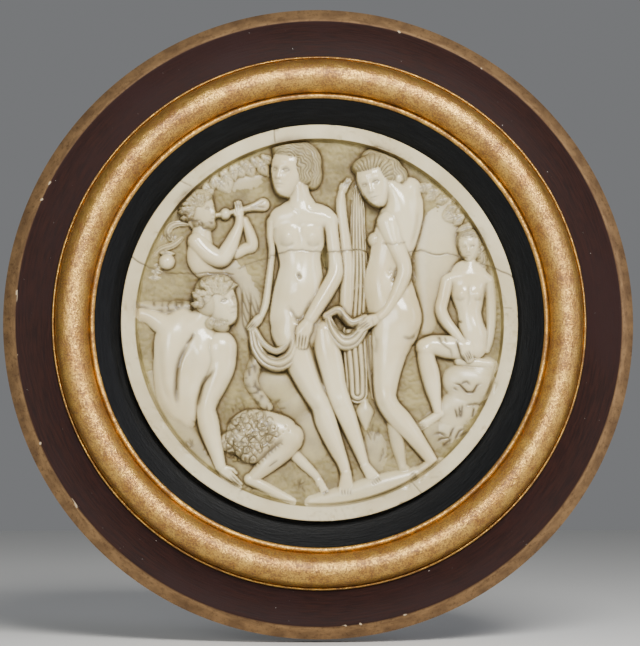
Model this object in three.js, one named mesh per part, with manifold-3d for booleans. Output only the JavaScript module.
// Alabaster relief tondo in a turned round frame, made to hang flat on a wall.
// Millimetres. X runs to the right, Z up, the front looks along -Y and the back is the plane y = 0.
import * as THREE from 'three';
import { mergeVertices } from 'three/addons/utils/BufferGeometryUtils.js';
import loadManifold from 'manifold-3d';

const wasm = await loadManifold();
wasm.setup();

// The carved stone.
const stoneRadius = 119.6;
const stoneThickness = 14;
const rimWidth = 8.4;
const rimSlant = 1.4;
const fieldDepth = 6.4;

// The black border and the floor under the stone.
const floorThickness = 8;
const shadowGap = 0.9;
const slopeWidth = 14.6;
const slopeFootDepth = 15.5;
const slopeTopDepth = 23.5;
const ledgeDepth = 12;

// The gilt moulding.
const mouldingWidth = 25.4;
const mouldingEdgeDepth = 25;
const innerFilletWidth = 3.2;
const outerFilletWidth = 2.4;
const hollowWidth = 3;
const hollowSink = 2.2;
const roundRise = 11;

// The outer ring.
const friezeWidth = 21.6;
const friezeInnerDepth = 22.5;
const friezeSag = 0.8;
const arrisDepth = 24;
const edgeBandWidth = 7.6;
const edgeBandFall = 6;
const backChamfer = 4;

const clearance = 0.3;
const weldDistance = 0.01;
const ringSegments = 40;
const friezeSteps = 3;
const roundSteps = 5;

// The carving, in hundredths of the field's radius.
const roundness = 0.85;
const bossRoot = 3;
const curlSpacing = 7.4;
const curlRowHeight = 8;

// Radii and depths that follow from them. A depth is measured forward from the wall.
const fieldRadius = stoneRadius - rimWidth;
const slopeInnerRadius = stoneRadius + shadowGap;
const slopeOuterRadius = slopeInnerRadius + slopeWidth;
const mouldingInnerRadius = slopeOuterRadius + clearance;
const mouldingOuterRadius = mouldingInnerRadius + mouldingWidth;
const friezeInnerRadius = mouldingOuterRadius + clearance;
const arrisRadius = friezeInnerRadius + friezeWidth;
const outerRadius = arrisRadius + edgeBandWidth;
const stoneBackDepth = floorThickness + clearance;
const rimFaceDepth = stoneBackDepth + stoneThickness;
const fieldFaceDepth = rimFaceDepth - fieldDepth;

// Turned pieces. A profile of [radius, depth] points runs from the back outwards and to the front.
function turned(profile) {
  const points = profile.map(([radius, depth]) => new THREE.Vector2(radius, -depth));
  return new THREE.LatheGeometry(points.reverse(), ringSegments);
}

function arcPoints(count, pointAt) {
  return Array.from({ length: count + 1 }, (_, i) => pointAt(i / count));
}

function outerRingGeometry() {
  const friezeCurve = arcPoints(friezeSteps, (t) => [
    THREE.MathUtils.lerp(arrisRadius, friezeInnerRadius, t),
    THREE.MathUtils.lerp(arrisDepth, friezeInnerDepth, t) - friezeSag * Math.sin(Math.PI * t),
  ]);
  const start = [friezeInnerRadius, 0];
  return turned([
    start,
    [outerRadius - backChamfer, 0],
    [outerRadius, backChamfer],
    [outerRadius, arrisDepth - edgeBandFall],
    ...friezeCurve,
    start,
  ]);
}

function mouldingGeometry() {
  const seatDepth = ledgeDepth + clearance;
  const roundInner = mouldingInnerRadius + innerFilletWidth;
  const hollowInner = mouldingOuterRadius - outerFilletWidth - hollowWidth;
  const roundCurve = arcPoints(roundSteps, (t) => [
    THREE.MathUtils.lerp(hollowInner, roundInner, (1 - Math.cos(Math.PI * t)) / 2),
    mouldingEdgeDepth - hollowSink + (roundRise + hollowSink) * Math.sin(Math.PI * t),
  ]);
  const start = [mouldingInnerRadius, seatDepth];
  return turned([
    start,
    [mouldingOuterRadius, seatDepth],
    [mouldingOuterRadius, mouldingEdgeDepth],
    [mouldingOuterRadius - outerFilletWidth, mouldingEdgeDepth],
    ...roundCurve,
    [roundInner, mouldingEdgeDepth],
    [mouldingInnerRadius, mouldingEdgeDepth],
    start,
  ]);
}

function slipGeometry() {
  return turned([
    [0, 0],
    [mouldingOuterRadius, 0],
    [mouldingOuterRadius, ledgeDepth],
    [slopeOuterRadius, ledgeDepth],
    [slopeOuterRadius, slopeTopDepth],
    [slopeInnerRadius, slopeFootDepth],
    [slopeInnerRadius, floorThickness],
    [0, floorThickness],
  ]);
}

function blankStoneGeometry() {
  return turned([
    [0, stoneBackDepth],
    [stoneRadius, stoneBackDepth],
    [stoneRadius, rimFaceDepth],
    [fieldRadius, rimFaceDepth],
    [fieldRadius - rimSlant, fieldFaceDepth],
    [0, fieldFaceDepth],
  ]);
}

// The carving. Places and sizes are hundredths of the field's radius: u to the right and v up
// from the centre, h out of the field. A station is [u, v, h, half width, half depth].
const front = new THREE.Vector3(0, -1, 0);

function mix(a, b, t) {
  return a.map((value, i) => value + (b[i] - value) * t);
}

function at(joint, halfWidth, halfDepth = halfWidth * roundness) {
  return [joint[0], joint[1], joint[2], halfWidth, halfDepth];
}

// Sections of a limb, as [across, out] shares of its half width and half depth.
function roundSection(sides) {
  return Array.from({ length: sides }, (_, i) => {
    const angle = (2 * Math.PI * (i + 0.5)) / sides;
    return [Math.cos(angle), Math.sin(angle)];
  });
}

function pleatedSection(ridges) {
  const crest = Array.from({ length: ridges * 2 + 1 }, (_, i) => [
    1 - i / ridges,
    i % 2 === 1 ? 1 : 0.45,
  ]);
  return [[1, -1], ...crest, [-1, -1]];
}

function limbGeometry(stations, section, tips) {
  const sides = section.length;
  const centres = stations.map(([u, v, h]) => new THREE.Vector3(u, -h, v));
  const [startTip, endTip] = tips.map(([u, v, h]) => new THREE.Vector3(u, -h, v));
  const path = [startTip, ...centres, endTip];
  const vertices = [];
  centres.forEach((centre, i) => {
    const across = path[i + 2].clone().sub(path[i]).cross(front).normalize();
    const [halfWidth, halfDepth] = stations[i].slice(3);
    section.forEach(([aside, out]) => {
      const point = centre.clone()
        .addScaledVector(across, halfWidth * aside)
        .addScaledVector(front, halfDepth * out);
      vertices.push(...point.toArray());
    });
  });
  vertices.push(...startTip.toArray(), ...endTip.toArray());
  const lastRing = (centres.length - 1) * sides;
  const startIndex = lastRing + sides;
  const endIndex = startIndex + 1;
  const triangles = [];
  for (let side = 0; side < sides; side += 1) {
    const next = (side + 1) % sides;
    for (let ring = 0; ring < lastRing; ring += sides) {
      const a = ring + side;
      const b = ring + next;
      triangles.push(a, a + sides, b, b, a + sides, b + sides);
    }
    triangles.push(startIndex, side, next);
    triangles.push(endIndex, lastRing + next, lastRing + side);
  }
  const geometry = new THREE.BufferGeometry();
  geometry.setAttribute('position', new THREE.Float32BufferAttribute(vertices, 3));
  geometry.setIndex(triangles);
  return inField(geometry);
}

// Shares of the field become millimetres on the stone.
function inField(geometry) {
  const share = fieldRadius / 100;
  geometry.scale(share, share, share);
  geometry.translate(0, -fieldFaceDepth, 0);
  return geometry;
}

function roundedTips(stations) {
  const beyond = (end, next) => end.slice(0, 3).map((value, i) => {
    const span = Math.hypot(end[0] - next[0], end[1] - next[1], end[2] - next[2]);
    return value + ((value - next[i]) / span) * end[3] * 0.6;
  });
  const last = stations.length - 1;
  return [beyond(stations[0], stations[1]), beyond(stations[last], stations[last - 1])];
}

function solidOf(geometry, weld = 0.0001) {
  geometry.deleteAttribute('normal');
  geometry.deleteAttribute('uv');
  const merged = mergeVertices(geometry, weld);
  const corners = merged.getIndex().array;
  const kept = [];
  for (let i = 0; i < corners.length; i += 3) {
    const [a, b, c] = corners.slice(i, i + 3);
    if (a !== b && b !== c && c !== a) {
      kept.push(a, b, c);
    }
  }
  return new wasm.Manifold(new wasm.Mesh({
    numProp: 3,
    vertProperties: new Float32Array(merged.getAttribute('position').array),
    triVerts: new Uint32Array(kept),
  }));
}

function geometryOf(solid) {
  const mesh = solid.getMesh();
  const geometry = new THREE.BufferGeometry();
  geometry.setAttribute('position', new THREE.Float32BufferAttribute(mesh.vertProperties, 3));
  geometry.setIndex(new THREE.BufferAttribute(mesh.triVerts, 1));
  return geometry;
}

function limb(stations, sides = 6) {
  return solidOf(limbGeometry(stations, roundSection(sides), roundedTips(stations)));
}

// A rounded lump, longer along its axis from foot to top.
function lump(foot, top, halfWidth, halfDepth = halfWidth * roundness, sides = 6) {
  return limb([
    at(mix(foot, top, 0.28), halfWidth, halfDepth),
    at(mix(foot, top, 0.72), halfWidth, halfDepth),
  ], sides);
}

// A ridged leaf or lock, pointed at both ends. Its outline lies just under the surface it grows on.
function leaf(foot, tip, halfWidth, rise) {
  const sunk = ([u, v, h]) => [u, v, h - rise * 0.4];
  const middle = at(mix(foot, tip, 0.45), halfWidth, rise);
  const section = [[1, -0.4], [0, 1], [-1, -0.4], [0, -1]];
  return solidOf(limbGeometry([middle], section, [sunk(foot), sunk(tip)]));
}

// A round boss that stands out of what it sits on.
function dome([u, v, h], radius, rise, sides = 6) {
  const profile = [[0, -rise], [radius * 0.72, -rise * 0.7], [radius, bossRoot], [0, bossRoot]];
  const points = profile.map(([across, out]) => new THREE.Vector2(across, out));
  const geometry = new THREE.LatheGeometry(points, sides);
  geometry.translate(u, -h, v);
  return solidOf(inField(geometry));
}

function arm({ shoulder, elbow, wrist, fingers, girth }) {
  return [
    limb([
      at(shoulder, girth * 1.15),
      at(mix(shoulder, elbow, 0.5), girth),
      at(elbow, girth * 0.84),
      at(wrist, girth * 0.58),
    ]),
    limb([
      at(mix(wrist, fingers, 0.15), girth * 0.72, girth * 0.55),
      at(mix(wrist, fingers, 0.85), girth * 0.7, girth * 0.4),
    ]),
  ];
}

function leg({ hip, knee, ankle, toes, girth }) {
  return [
    limb([
      at(hip, girth * 1.1),
      at(mix(hip, knee, 0.6), girth * 0.86),
      at(knee, girth * 0.68),
      at(mix(knee, ankle, 0.33), girth * 0.74),
      at(ankle, girth * 0.36),
    ]),
    limb([
      at(mix(ankle, toes, 0.1), girth * 0.42),
      at(mix(ankle, toes, 0.9), girth * 0.52, girth * 0.32),
    ]),
  ];
}

// A head on a calm general pattern: an egg for the skull and face, and a small straight nose.
// The chin points along `down`, and `facing` runs from -1 for a left profile to 1 for a right one.
function head({ centre, down, length, facing }) {
  const [du, dv] = new THREE.Vector2(...down).normalize().toArray();
  const across = [-dv, du];
  const point = (side, drop, out) => [
    centre[0] + length * (across[0] * side + du * drop),
    centre[1] + length * (across[1] * side + dv * drop),
    centre[2] + length * out,
  ];
  const width = length * (0.36 + 0.05 * Math.abs(facing));
  const nose = 0.34 * facing;
  const noseOut = 0.3 * (1 - 0.8 * facing * facing);
  return [
    limb([
      at(point(0, -0.33, 0), width * 0.78),
      at(point(0, -0.06, 0), width),
      at(point(0.03 * facing, 0.18, 0.02), width * 0.84),
      at(point(0.07 * facing, 0.4, 0.02), width * 0.4),
    ], 8),
    limb([
      at(point(nose * 0.9, -0.06, noseOut), length * 0.05),
      at(point(nose * 1.12, 0.14, noseOut + 0.02), length * 0.07),
    ], 4),
  ];
}

// A row of lumps along a line, for locks, curls and clumps.
function locks(start, end, count, length, halfWidth, lean) {
  return Array.from({ length: count }, (_, i) => {
    const foot = mix(start, end, count > 1 ? i / (count - 1) : 0);
    const tip = [foot[0] + length * lean[0], foot[1] + length * lean[1], foot[2]];
    return leaf(foot, tip, halfWidth, halfWidth);
  });
}

// Cloth that lies in ridges along a line of stations.
function pleats(stations, ridges) {
  return solidOf(limbGeometry(stations, pleatedSection(ridges), roundedTips(stations)));
}

// Cloth that hangs in a curve between two hands.
function swag(left, bottom, right, ridges, halfWidth, halfDepth) {
  const handle = bottom.map((value, i) => 2 * value - (left[i] + right[i]) / 2);
  const curve = new THREE.QuadraticBezierCurve3(
    new THREE.Vector3(...left),
    new THREE.Vector3(...handle),
    new THREE.Vector3(...right),
  );
  const stations = curve.getPoints(6).map((point, i) => {
    const fullness = 0.55 + 0.45 * Math.sin((Math.PI * i) / 6);
    return at(point.toArray(), halfWidth * fullness, halfDepth);
  });
  return pleats(stations, ridges);
}

function standingNymph() {
  return [
    limb([
      at([-11, -8, 2], 8, 6),
      at([-12, 6, 2], 14.4, 7),
      at([-11.5, 22, 2], 12.4, 7.6),
      at([-11, 35, 2], 10.8, 6.4),
      at([-10.5, 47, 2], 13.4, 7),
      at([-9.8, 57, 2], 16.4, 6),
      at([-11, 63.5, 2], 8, 5),
    ], 8),
    limb([at([-11, 60, 3], 4.6), at([-12.5, 72, 4], 4.4)]),
    dome([-18, 45.5, 7.4], 6.4, 4),
    dome([-3, 46, 7.4], 6.4, 4),
    ...head({ centre: [-16.5, 84, 6], down: [-0.2, -1], length: 25, facing: -0.5 }),
    lump([-14, 88, 3], [-9, 97, 3], 10.5, 6),
    ...locks([-5, 84, 3], [-8, 96, 3], 3, 8, 3.4, [0.1, -0.95]),
    ...arm({
      shoulder: [-25.5, 55, 2], elbow: [-28, 32, 1.2], wrist: [-31, 4, 1.2],
      fingers: [-37, -3, 2.2], girth: 3.2,
    }),
    ...arm({
      shoulder: [6, 55.5, 3], elbow: [10.5, 28, 3.4], wrist: [-8, -1, 7.2],
      fingers: [-10, -13, 7.2], girth: 4.4,
    }),
    ...leg({
      hip: [-17, -5, 3.5], knee: [-0.5, -44, 5], ankle: [14, -79, 4],
      toes: [14.5, -91, 3.5], girth: 7.8,
    }),
    ...leg({
      hip: [2.5, -9, 2], knee: [10, -41, 3], ankle: [24.5, -77, 2.2],
      toes: [31, -84, 2.2], girth: 7.2,
    }),
  ];
}

function bowedNymph() {
  return [
    limb([
      at([41, -6, 2], 11, 6),
      at([41, 6, 2], 14, 8),
      at([38, 20, 2], 13, 6.6),
      at([38, 34, 2], 12.4, 6),
      at([42, 46, 2], 12.6, 7),
      at([44, 58, 2], 13, 7),
      at([48.5, 67, 2], 9, 6),
    ], 8),
    limb([at([45, 66, 3], 6), at([38, 74, 4], 4.6)]),
    dome([31, 44.5, 3.4], 4.6, 3.4),
    ...head({ centre: [32, 77, 6.4], down: [0.5, -1], length: 24, facing: -0.55 }),
    lump([29, 88, 3], [42, 82, 3], 7.6, 5.4),
    dome([43.5, 80, 4.6], 3.8, 3.6),
    ...arm({
      shoulder: [37.5, 52, 6], elbow: [45, 27, 7], wrist: [33, 4, 7.6],
      fingers: [24, -2, 6.4], girth: 4.8,
    }),
    ...arm({
      shoulder: [14.5, 18, 1.6], elbow: [13, 40, 1.6], wrist: [11.5, 70, 1.6],
      fingers: [15, 77, 2.2], girth: 3.6,
    }),
    ...leg({
      hip: [40, -6, 4], knee: [34.5, -42, 3.6], ankle: [60, -73, 3],
      toes: [52, -82, 2.4], girth: 9.2,
    }),
    limb([at([40.5, -48, 0.6], 4.2), at([42, -62, 0.6], 3.6), at([44.5, -76, 0.6], 2.6)]),
    limb([at([45.5, -79, 0.8], 2.4), at([48.5, -83, 0.8], 2.8)]),
  ];
}

function pipingSatyr() {
  return [
    limb([
      at([-55, 24, 0.4], 7, 3),
      at([-62, 33, 1], 9.4, 4.4),
      at([-63, 43, 1], 8.6, 5),
      at([-64, 52, 1], 5.6, 4),
    ], 8),
    ...head({ centre: [-65, 62.5, 4], down: [0.35, -1], length: 20, facing: 0.9 }),
    lump([-63, 50, 4], [-57, 54, 4], 3.6, 3.4),
    ...locks([-73, 60, 4], [-61, 70, 4], 5, 6, 2, [-0.4, 1]),
    lump([-76, 61, 3], [-72, 56, 3], 2, 2.4),
    ...arm({
      shoulder: [-67, 41, 4.4], elbow: [-54.5, 33, 5], wrist: [-43.5, 54, 4.4],
      fingers: [-44, 63, 3.6], girth: 5.2,
    }),
    ...arm({
      shoulder: [-44, 36, 1], elbow: [-36.5, 41, 1.8], wrist: [-41, 54, 2],
      fingers: [-43, 60, 2], girth: 3.6,
    }),
    dome([-52, 59, 3], 3.2, 3),
    limb([at([-59, 58.5, 3], 1.5), at([-44, 62, 3], 1.8), at([-34, 63.5, 2.6], 3.6)]),
  ];
}

function kneelingSatyr() {
  return [
    limb([
      at([-74, -53, 0.8], 9, 4),
      at([-77, -38, 1.4], 11.6, 5.4),
      at([-78, -22, 1.8], 12.4, 6.6),
      at([-75, -8, 2], 14, 6.6),
      at([-70, 1, 1.6], 11, 5),
    ], 8),
    lump([-58, -28, 3], [-64, -6, 3], 10, 7),
    limb([at([-68, -2, 3], 6), at([-60, 8, 4], 5.4)]),
    ...head({ centre: [-56, 12, 6], down: [0.4, -1], length: 23, facing: 0.75 }),
    ...locks([-66, 11, 4], [-54, 17, 5], 4, 8, 4, [-0.2, 1]),
    lump([-57, -1, 6], [-52, 5, 6], 4, 4),
    lump([-65, 15, 7], [-62, 6, 7], 1.8, 3),
    ...arm({
      shoulder: [-80, -1, 2], elbow: [-88, 4.5, 1.6], wrist: [-95, 8, 1],
      fingers: [-99, 10, 0.8], girth: 4,
    }),
    ...arm({
      shoulder: [-53, -15, 4.4], elbow: [-59.5, -46, 5], wrist: [-54, -78, 3.4],
      fingers: [-44, -87, 2.6], girth: 6.4,
    }),
    limb([
      at([-48, -66, 2], 9, 6),
      at([-38, -62, 2.4], 15, 8),
      at([-26, -60, 2.6], 11, 7),
      at([-16, -60, 2.6], 6, 5),
    ], 8),
    limb([
      at([-17, -62, 4], 6.4),
      at([-16, -64, 4], 4.8),
      at([-23, -71, 3.6], 4.7),
      at([-37, -85, 2.6], 2.6),
    ]),
    limb([at([-37, -84, 2.4], 3), at([-22, -93.5, 2], 2.6), at([-11, -98, 1.6], 2.6)]),
    limb([at([-13, -72, 1], 3), at([-2, -84, 1], 2.2), at([3, -92, 1], 2.6)]),
    limb([at([-35, -19, 0.8], 4), at([-40, -31, 1.2], 4.2), at([-29, -46, 0.6], 3)]),
  ];
}

function haunchCurls() {
  const rows = 3;
  const curlsInRow = 4;
  return Array.from({ length: rows * curlsInRow }, (_, i) => {
    const row = Math.floor(i / curlsInRow);
    const step = (i % curlsInRow) + (row % 2) * 0.5;
    return dome([-48 + step * curlSpacing, -71 + row * curlRowHeight, 7.6], 3.4, 2.4, 4);
  });
}

function seatedNymph() {
  return [
    limb([
      at([82, -14, 2], 9, 5.4),
      at([80.5, 5, 2], 7.4, 4.6),
      at([81, 17, 2], 9, 5.4),
      at([81.2, 26, 2], 9.4, 4.4),
    ], 8),
    limb([at([82, 28, 2.6], 2.8), at([82, 34, 3], 2.8)]),
    dome([75.8, 15.5, 5.4], 3.8, 2.6),
    dome([85.6, 15.5, 5.4], 3.8, 2.6),
    ...head({ centre: [81.5, 41.5, 4.4], down: [0.1, -1], length: 15, facing: -0.3 }),
    lump([78, 46, 3], [86, 46, 3], 5, 4),
    leaf([86, 47, 2], [90, 29, 0.6], 3.4, 3.4),
    ...arm({
      shoulder: [69, 23, 2.4], elbow: [65.5, 6, 3], wrist: [78, -11, 6],
      fingers: [80.5, -20, 6], girth: 3,
    }),
    limb([at([92, 21, 1.6], 3), at([93, 5, 1.6], 2.6), at([90.5, -14, 1.8], 2)]),
    limb([at([78, -14, 3], 6.2), at([66, -12.5, 4], 5.8), at([56, -14, 4], 4.8)]),
    limb([
      at([57, -14, 4], 4.4),
      at([60, -28, 3.6], 4.6),
      at([63, -39, 3], 3.2),
      at([64.5, -47, 2.8], 2.6),
    ]),
    limb([at([65.5, -50, 2.2], 2.8), at([55, -56, 1.8], 2)]),
    limb([at([76, -21.5, 2.4], 3.4), at([93, -22, 1.8], 2.8)]),
  ];
}

function drapery() {
  return [
    pleats([at([20.5, 68, 1], 3, 2.6), at([20.5, 40, 1.2], 4.4, 2.8), at([20, 5, 1.4], 5, 3)], 3),
    swag([4, 2, 4.4], [13, -8, 4.6], [26, -1, 5], 2, 5, 3.4),
    pleats([at([19, -12, 2.2], 5.4, 3), at([19, -26, 1.6], 6, 3), at([19.5, -37, 1], 5.4, 2.6)], 3),
    limb([at([25, -12, 1.6], 2), at([27, -28, 1.4], 2.2), at([28, -42, 1], 1.8)]),
    lump([24, -60, 0], [25, -38, 0], 5.4, 2),
    swag([-35, -6, 4], [-23, -20, 6.2], [-12, -8, 7], 3, 5.4, 3),
  ];
}

function foliage() {
  return [
    ...locks([-66, 78, 0], [-37, 94, 0], 8, 13, 3.8, [0.3, -1]),
    ...locks([62, 80, 0], [84, 53, 0], 8, 14, 3.6, [-0.95, -0.25]),
    ...locks([66, 76, 1.4], [86, 53, 1.4], 6, 9, 3, [-0.9, 0.1]),
    dome([-83, 32.5, 1], 4, 3.6),
    limb([at([-76, 47, 0.6], 1.8), at([-85, 40, 1], 3), at([-90, 26, 0.8], 2.6)]),
    ...locks([-86, 44, 0], [-76, 50, 0], 3, 8, 2.2, [0.8, 0.7]),
  ];
}

function ground() {
  return [
    limb([
      at([83, -25, 0.4], 14, 5),
      at([81, -38, 0.4], 14, 5.6),
      at([77, -52, 0.2], 12, 4.4),
      at([70, -62, 0], 8, 3),
    ], 8),
    limb([
      at([62, -79, 0], 4, 4),
      at([40, -86, 0], 6, 5.4),
      at([16, -95, 0], 6, 5),
      at([-10, -98, 0], 4, 3.6),
    ], 8),
    limb([
      at([-88, -30, 0], 4, 2.6),
      at([-76, -56, 0], 7, 3),
      at([-62, -76, 0], 7, 3),
    ], 8),
  ];
}

function reliefGeometry() {
  const carving = [
    ...ground(),
    ...foliage(),
    ...drapery(),
    ...pipingSatyr(),
    ...kneelingSatyr(),
    ...haunchCurls(),
    ...seatedNymph(),
    ...bowedNymph(),
    ...standingNymph(),
  ];
  const whole = carving.reduce((sum, solid) => sum.add(solid), solidOf(blankStoneGeometry()));
  const column = turned([
    [0, stoneBackDepth],
    [stoneRadius, stoneBackDepth],
    [stoneRadius, rimFaceDepth + stoneThickness],
    [0, rimFaceDepth + stoneThickness],
  ]);
  const carved = geometryOf(whole.intersect(solidOf(column)));
  return geometryOf(solidOf(carved, weldDistance));
}

// Finishes.
const alabaster = new THREE.MeshStandardMaterial({ color: '#d9d3bd', roughness: 0.35, metalness: 0 });
const blackWood = new THREE.MeshStandardMaterial({ color: '#1b1c1e', roughness: 0.6, metalness: 0 });
const gilding = new THREE.MeshStandardMaterial({ color: '#a9793a', roughness: 0.42, metalness: 1 });
const brownWood = new THREE.MeshStandardMaterial({ color: '#4b2e2c', roughness: 0.6, metalness: 0 });

function piece(name, geometry, material) {
  const mesh = new THREE.Mesh(geometry, material);
  mesh.name = name;
  return mesh;
}

const tondo = new THREE.Group();
tondo.add(
  piece('outer_frame', outerRingGeometry(), brownWood),
  piece('gilt_moulding', mouldingGeometry(), gilding),
  piece('black_slip', slipGeometry(), blackWood),
  piece('alabaster_relief', reliefGeometry(), alabaster),
);

export default tondo;
